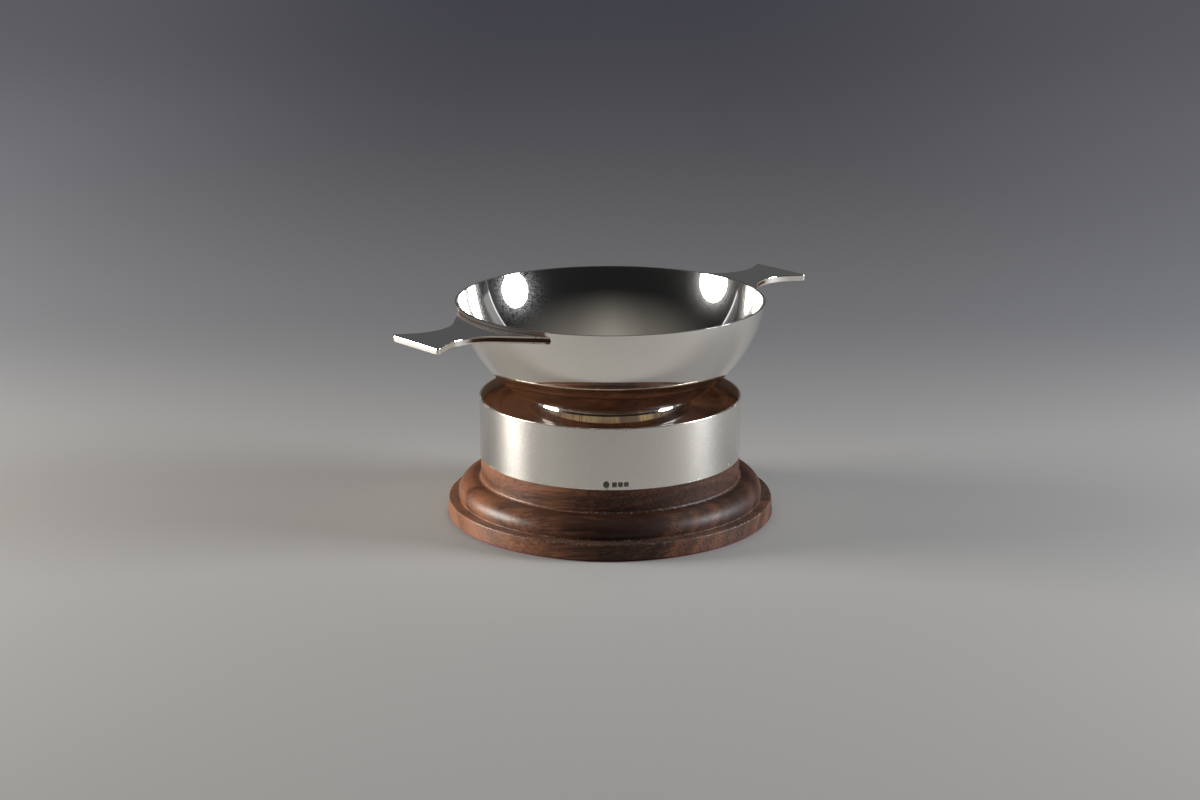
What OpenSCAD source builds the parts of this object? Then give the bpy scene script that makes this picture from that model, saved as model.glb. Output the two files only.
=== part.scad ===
// Two-lugged drinking bowl (quaich) in silver, standing on a turned wooden plinth with a silver band.
// Millimetres, +Z up. The origin is the middle of the underside, and the lugs lie along X.

/* [Bowl] */
// Outer diameter at the rim
rim_diameter = 140; // [120:1:170]
// Height from the flat underside to the rim
bowl_height = 43.5; // [38:0.1:49]
// Thickness of the raised sheet
bowl_wall = 1.2; // [0.8:0.1:1.8]
// Lean of the wall from the vertical at the rim, in degrees
rim_lean = 10.4; // [6:0.2:15]
// Radius of the round wall, seen in section
wall_radius = 64.1; // [58:0.1:74]
// Radius of the turn from the round wall into the flat underside
underside_turn = 25; // [12:0.5:32]

/* [Lugs] */
// Length of a lug past the edge of the rim
lug_length = 39.5; // [34:0.5:46]
// Thickness of the lug plate
lug_thickness = 3; // [2:0.1:4]
// Depth of a lug's top face below the rim
lug_drop = 1.9; // [1:0.1:4]
// Half of the lug's width at its end corners
lug_end_half_width = 16.7; // [15:0.1:19]
// Half of the lug's width at its waist
lug_waist_half_width = 9.9; // [8:0.1:11]
// Radius of the hollow at each side of the waist
waist_radius = 20.3; // [16:0.1:22]
// Slope of the outer flank, from the waist to the end, in degrees
outer_flank = 30; // [26:0.5:34]
// Slope of the inner flank, from the waist to the tail, in degrees
inner_flank = 43.5; // [40:0.5:47]
// Half of the angle that the root covers round the bowl, in degrees
root_half_angle = 25.5; // [22:0.5:28]
// Rounding of the end corners in plan
lug_corner = 1.2; // [0.5:0.1:2]

/* [Foot] */
// Diameter of the foot at its lower edge
foot_diameter = 75.8; // [64:0.2:84]
// Height of the bowl's flat underside above the seat
foot_height = 7; // [6.4:0.1:9]
// Lean of the foot's side from the vertical, in degrees
foot_lean = 8.5; // [4:0.5:12]
// Height of the foot's straight side, up to its rounded shoulder
foot_side = 5.6; // [4.6:0.1:6]
// Radius of the foot's rounded shoulder
shoulder_radius = 3.5; // [2.6:0.1:5]
// Thickness of the foot, measured from its narrowest straight side
foot_wall = 1.6; // [1.2:0.1:2.2]
// Gap that the solder fills, round the lugs and the foot
solder_gap = 0.05; // [0.03:0.01:0.15]

/* [Band] */
// Height of the band
band_height = 27.8; // [20:0.1:36]
// Thickness of the band
band_wall = 0.9; // [0.6:0.1:1.4]
// Gap between the band and the neck of the drum, on each side
band_gap = 0.1; // [0.05:0.01:0.2]
// How far the band stands out past the bare foot of the drum
band_proud = 0.3; // [0.1:0.05:0.6]

/* [Band pins] */
// Number of pins round the band
pin_count = 4; // [3:1:6]
// Diameter of a pin
pin_diameter = 1.4; // [1:0.1:2]
// Length of a pin from the band's face inwards
pin_length = 9; // [6:0.5:14]
// Height of the pins above the band's lower edge
pin_rise = 1.8; // [1.4:0.1:4]
// Angle of the first pin from +X, in degrees
pin_angle = 22.5; // [0:0.5:45]
// Gap round a pin
pin_gap = 0.05; // [0.03:0.01:0.1]

/* [Drum] */
// Height of the wooden drum, up to the ring round its seat
drum_height = 34.9; // [30:0.1:44]
// Height of the drum that shows below the band
drum_bare = 10.7; // [6:0.1:16]
// Radius of the small hollow at the drum's foot
drum_hollow = 1.2; // [0.6:0.1:2]
// Diameter of the seat that is sunk in the drum's top
seat_diameter = 100.4; // [88:0.2:112]
// Depth of the seat below the ring round it
seat_depth = 3; // [1.5:0.1:4.5]
// How far the seat's wall leans out, from the seat up to the ring
seat_flare = 1.4; // [0.4:0.1:2.5]
// Width of the flat ring round the seat
ring_width = 2.2; // [1:0.1:4]
// Width of the bevel from the ring out to the drum's neck
ring_bevel_width = 4.7; // [2:0.1:8]
// Drop of the bevel from the ring to the drum's neck
ring_bevel = 1.5; // [0.8:0.1:3]

/* [Base] */
// Height of the moulded base
base_height = 16.3; // [14:0.1:22]
// Diameter of the base at its underside
base_diameter = 149.4; // [142:0.2:170]
// How far the rim of the base leans in, from bottom to top
rim_taper = 0.6; // [0.2:0.1:1.5]
// Height of the upright rim of the base
base_rim_height = 7.1; // [5:0.1:8.5]
// Rounding of the rim's upper edge
rim_round = 0.6; // [0.3:0.1:1.2]
// Diameter of the round moulding at its widest
moulding_diameter = 139.2; // [132:0.2:141]
// Radius of the round moulding, seen in section
moulding_radius = 7; // [5:0.1:8]

/* [Screws] */
// Number of screws that hold the drum to the base
screw_count = 3; // [3:1:5]
// Diameter of the circle that the screws stand on
screw_circle = 76; // [50:1:90]
// Diameter of a screw's shank
screw_diameter = 4; // [3:0.1:5]
// Length of a screw
screw_length = 30; // [24:0.5:40]
// Diameter of a screw's countersunk head
screw_head = 8; // [6.5:0.1:9.5]
// Width of the slot in a screw's head
screw_slot = 1.1; // [0.8:0.1:1.5]
// Depth of the slot in a screw's head
screw_slot_depth = 1; // [0.6:0.1:1.3]
// Gap round a screw
screw_gap = 0.1; // [0.05:0.01:0.2]

/* [Baize] */
// Thickness of the baize under the base
baize_thickness = 0.8; // [0.5:0.1:1.5]
// How far the baize stops short of the base's edge
baize_inset = 0.7; // [0.3:0.1:2]

/* [Hidden] */

$fn = 180;
// Overlap that lets a cut break cleanly through a face
cut_over = 1;
// Depth by which two outlines that touch lap over each other, so that they cross cleanly
join_over = 0.002;

silver = "#c9c7c2";
rosewood = "#4a2418";
steel = "#8d8f92";
baize_red = "#6e1420";

// Heights, from the ground up
base_z = baize_thickness;
drum_z = base_z + base_height;
ring_z = drum_z + drum_height;
seat_z = ring_z - seat_depth;
band_z = drum_z + drum_bare;
bowl_z = seat_z + foot_height;
rim_z = bowl_z + bowl_height;

// Radii that pieces share
rim_radius = rim_diameter / 2;
lug_reach = rim_radius + lug_length;
seat_radius = seat_diameter / 2;
ring_inside = seat_radius + seat_flare;
ring_radius = ring_inside + ring_width;
neck_radius = ring_radius + ring_bevel_width;
band_inside = neck_radius + band_gap;
band_radius = band_inside + band_wall;
drum_radius = band_radius - band_proud;
foot_radius = foot_diameter / 2;
base_radius = base_diameter / 2;

// Section of the bowl: the round wall down from the rim, the turn and the flat underside
wall_centre_r = rim_radius - wall_radius * cos(rim_lean);
wall_centre_z = rim_z + wall_radius * sin(rim_lean);
turn_centre_z = bowl_z + underside_turn;
turn_offset_z = wall_centre_z - turn_centre_z;
turn_distance = wall_radius - underside_turn;
turn_offset_r = sqrt(turn_distance * turn_distance - turn_offset_z * turn_offset_z);
turn_centre_r = wall_centre_r + turn_offset_r;

// Where the waist lies along the lug, so that the outer flank ends at the corner's half-width
flank_rise = lug_end_half_width - lug_waist_half_width - waist_radius * (1 - cos(outer_flank));
waist_u = lug_reach - flank_rise / tan(outer_flank) - waist_radius * sin(outer_flank);

// Centre of the circle that rounds an end corner, touching the straight end and the outer flank
corner_centre = [
    lug_reach - lug_corner,
    lug_end_half_width - lug_corner * (1 + sin(outer_flank)) / cos(outer_flank)
];

// Filled half-section of the bowl, with every face moved inwards by the inset. The areas overlap, and
// their outlines run smoothly into each other.
module bowl_section(inset) {
    wall = wall_radius - inset;
    turn = underside_turn - inset;
    meet_z = wall_centre_z - wall * turn_offset_z / turn_distance;
    top_z = rim_z + (inset > 0 ? cut_over : 0);
    intersection() {
        translate([wall_centre_r, wall_centre_z])
            circle(r = wall);
        translate([0, meet_z])
            square([rim_diameter, top_z - meet_z]);
    }
    translate([0, turn_centre_z - turn])
        square([turn_centre_r, turn]);
    intersection() {
        translate([turn_centre_r, turn_centre_z])
            circle(r = turn + join_over);
        translate([0, turn_centre_z - turn])
            square([rim_diameter, turn]);
    }
}

module bowl() {
    color(silver)
        rotate_extrude()
            difference() {
                bowl_section(0);
                bowl_section(bowl_wall);
            }
}

// Plan of the hollow at one side of a lug's waist: a circle that runs off into two straight flanks
module waist_hollow() {
    centre = [waist_u, lug_waist_half_width + waist_radius];
    flank_r = waist_radius - join_over;
    inner_foot = centre + flank_r * [-sin(inner_flank), -cos(inner_flank)];
    outer_foot = centre + flank_r * [sin(outer_flank), -cos(outer_flank)];
    inner_far = inner_foot + lug_reach * [-cos(inner_flank), sin(inner_flank)];
    outer_far = outer_foot + lug_reach * [cos(outer_flank), sin(outer_flank)];
    translate(centre)
        circle(r = waist_radius);
    polygon([centre, outer_foot, outer_far, inner_far, inner_foot]);
}

// Plan of the sharp tip that the corner's rounding takes off
module corner_waste() {
    on_end = corner_centre + [lug_corner, 0];
    on_flank = corner_centre + lug_corner * [-sin(outer_flank), cos(outer_flank)];
    tip = [lug_reach + cut_over, lug_end_half_width + cut_over];
    difference() {
        polygon([corner_centre, on_end, [lug_reach + cut_over, on_end.y], tip, on_flank]);
        translate(corner_centre)
            circle(r = lug_corner + 2 * join_over);
    }
}

// Plan of a lug that points along +X, from the bowl's axis to its end
module lug_plan() {
    half = lug_reach * tan(root_half_angle);
    difference() {
        polygon([[0, 0], [lug_reach, -half], [lug_reach, half]]);
        for (side = [0, 1])
            mirror([0, side]) {
                waist_hollow();
                corner_waste();
            }
    }
}

// Flat lug, cut at its root to the bowl's round wall
module lug() {
    color(silver)
        difference() {
            translate([0, 0, rim_z - lug_drop - lug_thickness])
                linear_extrude(height = lug_thickness)
                    lug_plan();
            rotate_extrude()
                bowl_section(-solder_gap);
        }
}

module lug_right() {
    lug();
}

module lug_left() {
    rotate([0, 0, 180])
        lug();
}

// Collet foot: a leaning side with a rounded shoulder and a thinner neck, cut to the bowl's underside
module foot_ring() {
    side_top = [foot_radius - foot_side * tan(foot_lean), seat_z + foot_side];
    shoulder = side_top - shoulder_radius * [cos(foot_lean), sin(foot_lean)];
    inside = side_top.x - foot_wall;
    neck = inside + foot_wall / 2;
    neck_height = foot_height + underside_turn;
    color(silver)
        rotate_extrude()
            difference() {
                union() {
                    polygon([
                        [0, seat_z],
                        [foot_radius, seat_z],
                        side_top - join_over * [cos(foot_lean), sin(foot_lean)],
                        shoulder,
                        [0, shoulder.y]
                    ]);
                    translate(shoulder)
                        circle(r = shoulder_radius);
                    translate([0, seat_z])
                        square([neck, neck_height]);
                }
                translate([0, seat_z - cut_over])
                    square([inside, neck_height + 2 * cut_over]);
                bowl_section(-solder_gap);
            }
}

module silver_band() {
    color(silver)
        difference() {
            translate([0, 0, band_z])
                cylinder(h = band_height, r = band_radius);
            translate([0, 0, band_z - cut_over])
                cylinder(h = band_height + 2 * cut_over, r = band_inside);
            pin_places()
                pin_shape(pin_gap, cut_over);
        }
}

// Puts its children at each pin, with +X pointing outwards from the band's face
module pin_places() {
    for (i = [0 : pin_count - 1])
        rotate([0, 0, pin_angle + i * 360 / pin_count])
            translate([0, 0, band_z + pin_rise])
                children();
}

// Straight pin along X, grown by a gap all round and lengthened outwards
module pin_shape(gap, longer) {
    translate([band_radius - pin_length - gap, 0, 0])
        rotate([0, 90, 0])
            cylinder(h = pin_length + gap + longer, r = pin_diameter / 2 + gap);
}

// Pins that hold the band, filed flush with its face
module band_pins() {
    color(silver)
        intersection() {
            pin_places()
                pin_shape(0, cut_over);
            translate([0, 0, band_z])
                cylinder(h = band_height, r = band_radius);
        }
}

// Drum: a bare foot with a small hollow, a neck for the band and a sunk seat with a ring round it
module plinth_drum() {
    foot_r = drum_radius + drum_hollow;
    color(rosewood)
        difference() {
            rotate_extrude()
                difference() {
                    polygon([
                        [0, drum_z],
                        [foot_r, drum_z],
                        [foot_r, drum_z + drum_hollow],
                        [drum_radius, drum_z + drum_hollow],
                        [drum_radius, band_z],
                        [neck_radius, band_z],
                        [neck_radius, ring_z - ring_bevel],
                        [ring_radius, ring_z],
                        [ring_inside, ring_z],
                        [seat_radius, seat_z],
                        [0, seat_z]
                    ]);
                    translate([foot_r, drum_z + drum_hollow])
                        circle(r = drum_hollow);
                }
            pin_places()
                pin_shape(pin_gap, cut_over);
            screw_places()
                screw_shape(screw_gap);
        }
}

// Base: an upright rim, a narrow ledge and a round moulding up to the drum
module plinth_base() {
    lean = atan(rim_taper / base_rim_height);
    ledge_z = base_z + base_rim_height;
    round_z = ledge_z - rim_round;
    round_r = base_radius - (round_z - base_z) * tan(lean) - rim_round / cos(lean);
    moulding_r = moulding_diameter / 2 - moulding_radius;
    moulding_z = drum_z - moulding_radius;
    color(rosewood)
        difference() {
            rotate_extrude() {
                polygon([
                    [0, base_z],
                    [base_radius, base_z],
                    [round_r + rim_round * cos(lean), round_z + rim_round * sin(lean)],
                    [round_r, round_z],
                    [round_r, ledge_z],
                    [0, ledge_z]
                ]);
                translate([round_r, round_z])
                    circle(r = rim_round, $fn = 48);
                intersection() {
                    union() {
                        translate([moulding_r, moulding_z])
                            circle(r = moulding_radius);
                        square([moulding_r, drum_z]);
                    }
                    translate([0, ledge_z])
                        square([base_radius, base_height]);
                }
            }
            screw_places()
                screw_shape(screw_gap);
        }
}

// Puts its children at each screw, with the head's face on the base's underside
module screw_places() {
    for (i = [0 : screw_count - 1])
        rotate([0, 0, i * 360 / screw_count])
            translate([screw_circle / 2, 0, base_z])
                children();
}

// Countersunk screw along +Z, grown by a gap all round
module screw_shape(gap) {
    head_depth = (screw_head - screw_diameter) / 2;
    translate([0, 0, -gap])
        cylinder(h = screw_length + 2 * gap, r = screw_diameter / 2 + gap);
    cylinder(h = head_depth, r1 = screw_head / 2 + gap, r2 = screw_diameter / 2 + gap);
}

module drum_screws() {
    color(steel)
        screw_places()
            difference() {
                screw_shape(0);
                translate([-screw_head, -screw_slot / 2, -cut_over])
                    cube([2 * screw_head, screw_slot, screw_slot_depth + cut_over]);
            }
}

module baize_pad() {
    color(baize_red)
        cylinder(h = baize_thickness, r = base_radius - baize_inset);
}

bowl();
lug_right();
lug_left();
foot_ring();
silver_band();
band_pins();
plinth_drum();
plinth_base();
drum_screws();
baize_pad();
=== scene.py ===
"""Looks of a silver quaich on its turned plinth, laid out as an add-on and run as a script."""

import math

import bpy
from bpy.props import FloatProperty, FloatVectorProperty, PointerProperty
from mathutils import Matrix, Vector


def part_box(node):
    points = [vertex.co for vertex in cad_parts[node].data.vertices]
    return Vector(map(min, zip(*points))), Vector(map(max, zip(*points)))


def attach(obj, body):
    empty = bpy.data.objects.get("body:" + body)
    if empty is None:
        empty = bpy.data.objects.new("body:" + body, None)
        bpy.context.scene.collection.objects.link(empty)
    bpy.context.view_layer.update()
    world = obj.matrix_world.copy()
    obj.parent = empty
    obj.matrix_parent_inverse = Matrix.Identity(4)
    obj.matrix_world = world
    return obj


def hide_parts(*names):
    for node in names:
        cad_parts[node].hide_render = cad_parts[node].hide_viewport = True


bl_info = {
    "name": "Quaich on a plinth",
    "version": (1, 0, 0),
    "blender": (4, 5, 0),
    "location": "View3D > Sidebar > Quaich",
    "description": "Builds the polished and turned pieces of a quaich on its plinth",
    "category": "Object",
}

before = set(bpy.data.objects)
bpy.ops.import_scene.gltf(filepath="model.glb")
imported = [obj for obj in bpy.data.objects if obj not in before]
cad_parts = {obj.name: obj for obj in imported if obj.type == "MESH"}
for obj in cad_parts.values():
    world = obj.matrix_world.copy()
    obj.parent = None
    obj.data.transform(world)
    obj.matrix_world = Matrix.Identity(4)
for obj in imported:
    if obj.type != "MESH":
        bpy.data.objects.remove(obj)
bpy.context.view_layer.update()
BOWL_LOW, BOWL_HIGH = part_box("bowl")
LUG_LOW, LUG_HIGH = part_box("lug_right")
FOOT_LOW, FOOT_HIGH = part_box("foot_ring")
BAND_LOW, BAND_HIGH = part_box("silver_band")
DRUM_LOW, DRUM_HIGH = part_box("plinth_drum")
BASE_LOW, BASE_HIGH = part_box("plinth_base")
BAIZE_LOW, BAIZE_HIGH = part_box("baize_pad")

# Turn from the part's frame to one that faces the camera, and the angle of the object's front
VIEW_TURN = math.radians(40.8)
FRONT = -math.pi / 2 - VIEW_TURN

# Nearer to the axis than this, a point of a section is on it
ON_AXIS = 1e-9
# Divisions round a turned piece, in the rounding of an edge, and in the arcs of the sections
ROUND_STEPS = 288
EDGE_STEPS = 5
WALL_STEPS = 60
UNDERSIDE_STEPS = 20
SHOULDER_STEPS = 16
MOULDING_STEPS = 40
SMALL_ARC_STEPS = 8
# Angles that arcs leave free for a rounded edge: at the bowl's rim, the drum's foot and the moulding
RIM_FREE = 0.015
HOLLOW_FREE = math.radians(8)
MOULDING_FREE = 0.06

# Depth by which soldered pieces run into each other, and depth of the fillet's upper edges in the silver
SOLDER_LAP = 0.0003
FILLET_SINK = 0.00003
# The lugs: piece, CAD node and turn about the axis
LUGS = (("lug_plate_right", "lug_right", 0.0), ("lug_plate_left", "lug_left", math.pi))
# Divisions along a lug's outline, in its upper edge, and in the solder above it
END_STEPS, CORNER_STEPS, WAIST_STEPS, FLANK_STEPS, ROOT_STEPS = 8, 12, 40, 16, 12
LUG_EDGE_STEPS = 8
FILLET_STEPS = 6
FILLET_ROWS = 48
# Where a lug's rounding starts and is full: at its end by the normal, at its tails by distance from the rim
END_TURN = (0.3, 0.9)
TAIL_REACH = (0.021, 0.005)
# Width of a lug's upper rounding as a share of its depth, and distance from the bowl at which it is full
EDGE_SLIMNESS = 0.45
ROOT_FADE = 0.002

# Blank punches near the band's lower edge: place of the middle along the band, from the front, half of the
# width and of the height, and a power that makes the outline round at 2 and square when it is high
PUNCHES = (
    (-0.0019, 0.0014, 0.0016, 2.0),
    (0.0017, 0.0011, 0.0011, 6.0),
    (0.0043, 0.0011, 0.0011, 6.0),
    (0.0069, 0.0011, 0.0011, 6.0),
)
PUNCH_RISE = 0.0026
# Where a punch's sloping side starts and ends, as shares of its half-size
PUNCH_SIDE = (1.12, 0.82)
# Close rows over the band's lower edge, and close divisions along it, that carry the punches
PUNCH_ROWS = 44
PUNCH_STRIP = (0.0003, 0.0063)
PUNCH_STEPS = 120
PUNCH_SPAN = (-0.0038, 0.0086)
CLOSEST_ANGLE = 0.0008

# Band pins: how many, divisions round each one, and how far it stands out of the band
PIN_COUNT = 4
PIN_STEPS = 32
PIN_PROUD = 0.00002

# Heights over which the wood's colour and shine change: from the base's rim to its moulding, up the drum's
# foot, and from the drum's side to its top, where painted shade darkens the wood under the bowl
RIM_TOP = (0.0065, 0.0095)
DRUM_FOOT = (0.0175, 0.0215)
DRUM_TOP = (0.03, 0.05)

# The stage, in the frame that faces the camera: each lamp's place, width and height, watts and colour
LAMPS = (
    ("lamp_right", Vector((1.05, -0.095, 0.385)), (0.49, 0.44), 18.0, (0.95, 0.965, 1.0)),
    ("lamp_left", Vector((-1.05, 0.02, 0.24)), (0.53, 0.46), 24.5, (1.0, 0.965, 0.92)),
)
FLOOR_RADII = (7.0, 3.0, 1.0, 0.3, 0.0)
PAPER_COLOUR = (0.94, 0.955, 1.0)
CEILING_COLOUR = (1.0, 0.96, 0.88)
ROOM_GLOW, CEILING_GLOW = 0.012, 0.32
CAMERA_PLACE = (-0.004616, -1.0439, 0.34244)
CAMERA_TILT = math.radians(15.544)
CAMERA_LENS, CAMERA_SENSOR = 71.22, 36.0


class QuaichSizes(bpy.types.PropertyGroup):
    """Sizes that the frame's boxes don't give"""

    bowl_wall: FloatProperty(
        name="Bowl wall", description="Thickness of the raised sheet", default=0.0012, unit="LENGTH"
    )
    rim_lean: FloatProperty(
        name="Rim lean",
        description="Lean of the bowl's wall at the rim",
        default=math.radians(10.4),
        subtype="ANGLE",
    )
    wall_radius: FloatProperty(
        name="Wall radius",
        description="Radius of the bowl's round wall in section",
        default=0.0641,
        unit="LENGTH",
    )
    underside_turn: FloatProperty(
        name="Underside turn",
        description="Radius of the turn into the underside",
        default=0.025,
        unit="LENGTH",
    )
    rim_edge: FloatProperty(
        name="Rim edge", description="Rounding of the rim's edges", default=0.00005, unit="LENGTH"
    )
    lug_end_half_width: FloatProperty(
        name="Lug end", description="Half of a lug's width at its end", default=0.0167, unit="LENGTH"
    )
    lug_waist_half_width: FloatProperty(
        name="Lug waist", description="Half of a lug's width at its waist", default=0.0099, unit="LENGTH"
    )
    waist_radius: FloatProperty(
        name="Waist radius",
        description="Radius of the hollow beside the waist",
        default=0.0203,
        unit="LENGTH",
    )
    outer_flank: FloatProperty(
        name="Outer flank",
        description="Slope from the waist to the end",
        default=math.radians(30),
        subtype="ANGLE",
    )
    inner_flank: FloatProperty(
        name="Inner flank",
        description="Slope from the waist to the tail",
        default=math.radians(46),
        subtype="ANGLE",
    )
    root_half_angle: FloatProperty(
        name="Root angle",
        description="Half of the angle that a root covers",
        default=math.radians(27.2),
        subtype="ANGLE",
    )
    lug_corner: FloatProperty(
        name="Lug corner", description="Rounding of a lug's corners in plan", default=0.0012, unit="LENGTH"
    )
    lug_edge: FloatProperty(
        name="Lug edge",
        description="Depth of the rounding of a lug's upper edge at its waist",
        default=0.0006,
        unit="LENGTH",
    )
    lug_end_edge: FloatProperty(
        name="Lug end edge",
        description="Depth of the rounding at a lug's end",
        default=0.0016,
        unit="LENGTH",
    )
    lug_tail_edge: FloatProperty(
        name="Lug tail edge",
        description="Depth of the rounding at a lug's tails",
        default=0.0027,
        unit="LENGTH",
    )
    lug_lower_edge: FloatProperty(
        name="Lug lower edge", description="Rounding of a lug's lower edge", default=0.0003, unit="LENGTH"
    )
    solder_fillet: FloatProperty(
        name="Solder fillet",
        description="Radius of the solder in the corner above a lug",
        default=0.0013,
        unit="LENGTH",
    )
    foot_lean: FloatProperty(
        name="Foot lean", description="Lean of the foot's side", default=math.radians(8.5), subtype="ANGLE"
    )
    foot_side: FloatProperty(
        name="Foot side", description="Height of the foot's straight side", default=0.0056, unit="LENGTH"
    )
    shoulder_radius: FloatProperty(
        name="Foot shoulder",
        description="Radius of the foot's rounded shoulder",
        default=0.0035,
        unit="LENGTH",
    )
    shoulder_end: FloatProperty(
        name="Shoulder end",
        description="Angle at which the foot's shoulder ends",
        default=math.radians(48),
        subtype="ANGLE",
    )
    foot_wall: FloatProperty(
        name="Foot wall", description="Thickness of the foot", default=0.0016, unit="LENGTH"
    )
    foot_edge: FloatProperty(
        name="Foot edge", description="Rounding of the foot's edges", default=0.00015, unit="LENGTH"
    )
    band_wall: FloatProperty(
        name="Band wall", description="Thickness of the band", default=0.0009, unit="LENGTH"
    )
    band_edge: FloatProperty(
        name="Band edge", description="Rounding of the band's edges", default=0.0003, unit="LENGTH"
    )
    punch_depth: FloatProperty(
        name="Punch depth",
        description="Depth of the blank punches in the band",
        default=0.0001,
        unit="LENGTH",
    )
    pin_radius: FloatProperty(
        name="Pin radius", description="Radius of a band pin", default=0.0007, unit="LENGTH"
    )
    pin_length: FloatProperty(
        name="Pin length", description="Length of a band pin", default=0.009, unit="LENGTH"
    )
    pin_rise: FloatProperty(
        name="Pin rise",
        description="Height of the pins above the band's lower edge",
        default=0.0018,
        unit="LENGTH",
    )
    pin_angle: FloatProperty(
        name="Pin angle",
        description="Angle of the first pin from +X",
        default=math.radians(22.5),
        subtype="ANGLE",
    )
    drum_hollow: FloatProperty(
        name="Drum hollow",
        description="Radius of the hollow at the drum's foot",
        default=0.0012,
        unit="LENGTH",
    )
    neck_gap: FloatProperty(
        name="Neck gap",
        description="Gap between the band and the drum's neck",
        default=0.0001,
        unit="LENGTH",
    )
    seat_flare: FloatProperty(
        name="Seat flare",
        description="How far the sunk seat's wall leans out",
        default=0.0014,
        unit="LENGTH",
    )
    ring_width: FloatProperty(
        name="Ring width",
        description="Width of the flat ring round the seat",
        default=0.0022,
        unit="LENGTH",
    )
    ring_bevel_width: FloatProperty(
        name="Bevel width", description="Width of the bevel outside the ring", default=0.0047, unit="LENGTH"
    )
    ring_bevel: FloatProperty(
        name="Bevel drop", description="Drop of the bevel outside the ring", default=0.0015, unit="LENGTH"
    )
    base_rim_height: FloatProperty(
        name="Base rim", description="Height of the base's upright rim", default=0.0071, unit="LENGTH"
    )
    rim_taper: FloatProperty(
        name="Rim taper", description="How far the base's rim leans in", default=0.0006, unit="LENGTH"
    )
    rim_round: FloatProperty(
        name="Rim rounding",
        description="Rounding of the base rim's upper edge",
        default=0.0006,
        unit="LENGTH",
    )
    moulding_diameter: FloatProperty(
        name="Moulding", description="Diameter of the round moulding", default=0.1392, unit="LENGTH"
    )
    moulding_radius: FloatProperty(
        name="Moulding radius",
        description="Radius of the moulding in section",
        default=0.007,
        unit="LENGTH",
    )
    wood_edge: FloatProperty(
        name="Wood edge", description="Softening of the wood's turned edges", default=0.0003, unit="LENGTH"
    )


class QuaichColours(bpy.types.PropertyGroup):
    """Colours of the finishes"""

    silver: FloatVectorProperty(
        name="Silver",
        description="Polished silver",
        default=(0.93, 0.895, 0.83),
        subtype="COLOR",
        min=0,
        max=1,
    )
    tarnish: FloatVectorProperty(
        name="Tarnish",
        description="Brown tarnish in corners",
        default=(0.16, 0.075, 0.035),
        subtype="COLOR",
        min=0,
        max=1,
    )
    # Dull colour of the soldered joints; on the bowl's strip above each lug it is painted shade
    solder_and_shade: FloatVectorProperty(
        name="Solder",
        description="Dull solder at the lugs' roots",
        default=(0.045, 0.042, 0.039),
        subtype="COLOR",
        min=0,
        max=1,
    )
    old_tarnish: FloatVectorProperty(
        name="Old tarnish",
        description="Golden tarnish inside the band",
        default=(0.5, 0.37, 0.19),
        subtype="COLOR",
        min=0,
        max=1,
    )
    wood_light: FloatVectorProperty(
        name="Light wood",
        description="Pale growth of the wood",
        default=(0.215, 0.085, 0.039),
        subtype="COLOR",
        min=0,
        max=1,
    )
    wood_dark: FloatVectorProperty(
        name="Dark wood",
        description="Dark growth of the wood",
        default=(0.022, 0.008, 0.005),
        subtype="COLOR",
        min=0,
        max=1,
    )
    # Also the colour of the painted shade on the drum's top under the bowl
    wood_pore_and_shade: FloatVectorProperty(
        name="Wood pores",
        description="Open pores in the wood",
        default=(0.012, 0.006, 0.004),
        subtype="COLOR",
        min=0,
        max=1,
    )
    wax: FloatVectorProperty(
        name="Wax",
        description="Pale specks of wax in the wood's creases",
        default=(0.36, 0.28, 0.23),
        subtype="COLOR",
        min=0,
        max=1,
    )
    baize: FloatVectorProperty(
        name="Baize", description="Red baize", default=(0.2, 0.012, 0.025), subtype="COLOR", min=0, max=1
    )
    steel: FloatVectorProperty(
        name="Steel",
        description="Plain steel of the screws",
        default=(0.5, 0.5, 0.51),
        subtype="COLOR",
        min=0,
        max=1,
    )
    # The floor's colours carry painted light: painted shade just behind the object, and a painted glow far
    # out at the sides
    floor_near: FloatVectorProperty(
        name="Near floor",
        description="Pale floor under the object",
        default=(0.345, 0.34, 0.333),
        subtype="COLOR",
        min=0,
        max=1,
    )
    floor_middle_shade: FloatVectorProperty(
        name="Middle floor",
        description="Floor just behind the object",
        default=(0.2, 0.203, 0.217),
        subtype="COLOR",
        min=0,
        max=1,
    )
    floor_far: FloatVectorProperty(
        name="Far floor",
        description="Floor far behind the object",
        default=(0.36, 0.365, 0.495),
        subtype="COLOR",
        min=0,
        max=1,
    )
    floor_side_glow: FloatVectorProperty(
        name="Floor aside",
        description="Floor far behind, out at the sides",
        default=(0.85, 0.87, 1.0),
        subtype="COLOR",
        min=0,
        max=1,
    )


# Sections of turned pieces are rows of (radius, height, rounding, normal), with the outside on the right


def corner(radius, height, rounding=0.0):
    """A corner of a section, with its rounding."""
    return (radius, height, rounding, None)


def arc(centre_r, centre_z, radius, start, end, steps):
    """Points of an arc from one angle to another, in radians; it bulges outwards if it turns to the left."""
    side = 1 if end > start else -1
    rows = []
    for i in range(steps + 1):
        a = start + (end - start) * i / steps
        c, s = math.cos(a), math.sin(a)
        rows.append((centre_r + radius * c, centre_z + radius * s, 0.0, (side * c, side * s)))
    return rows


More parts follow.
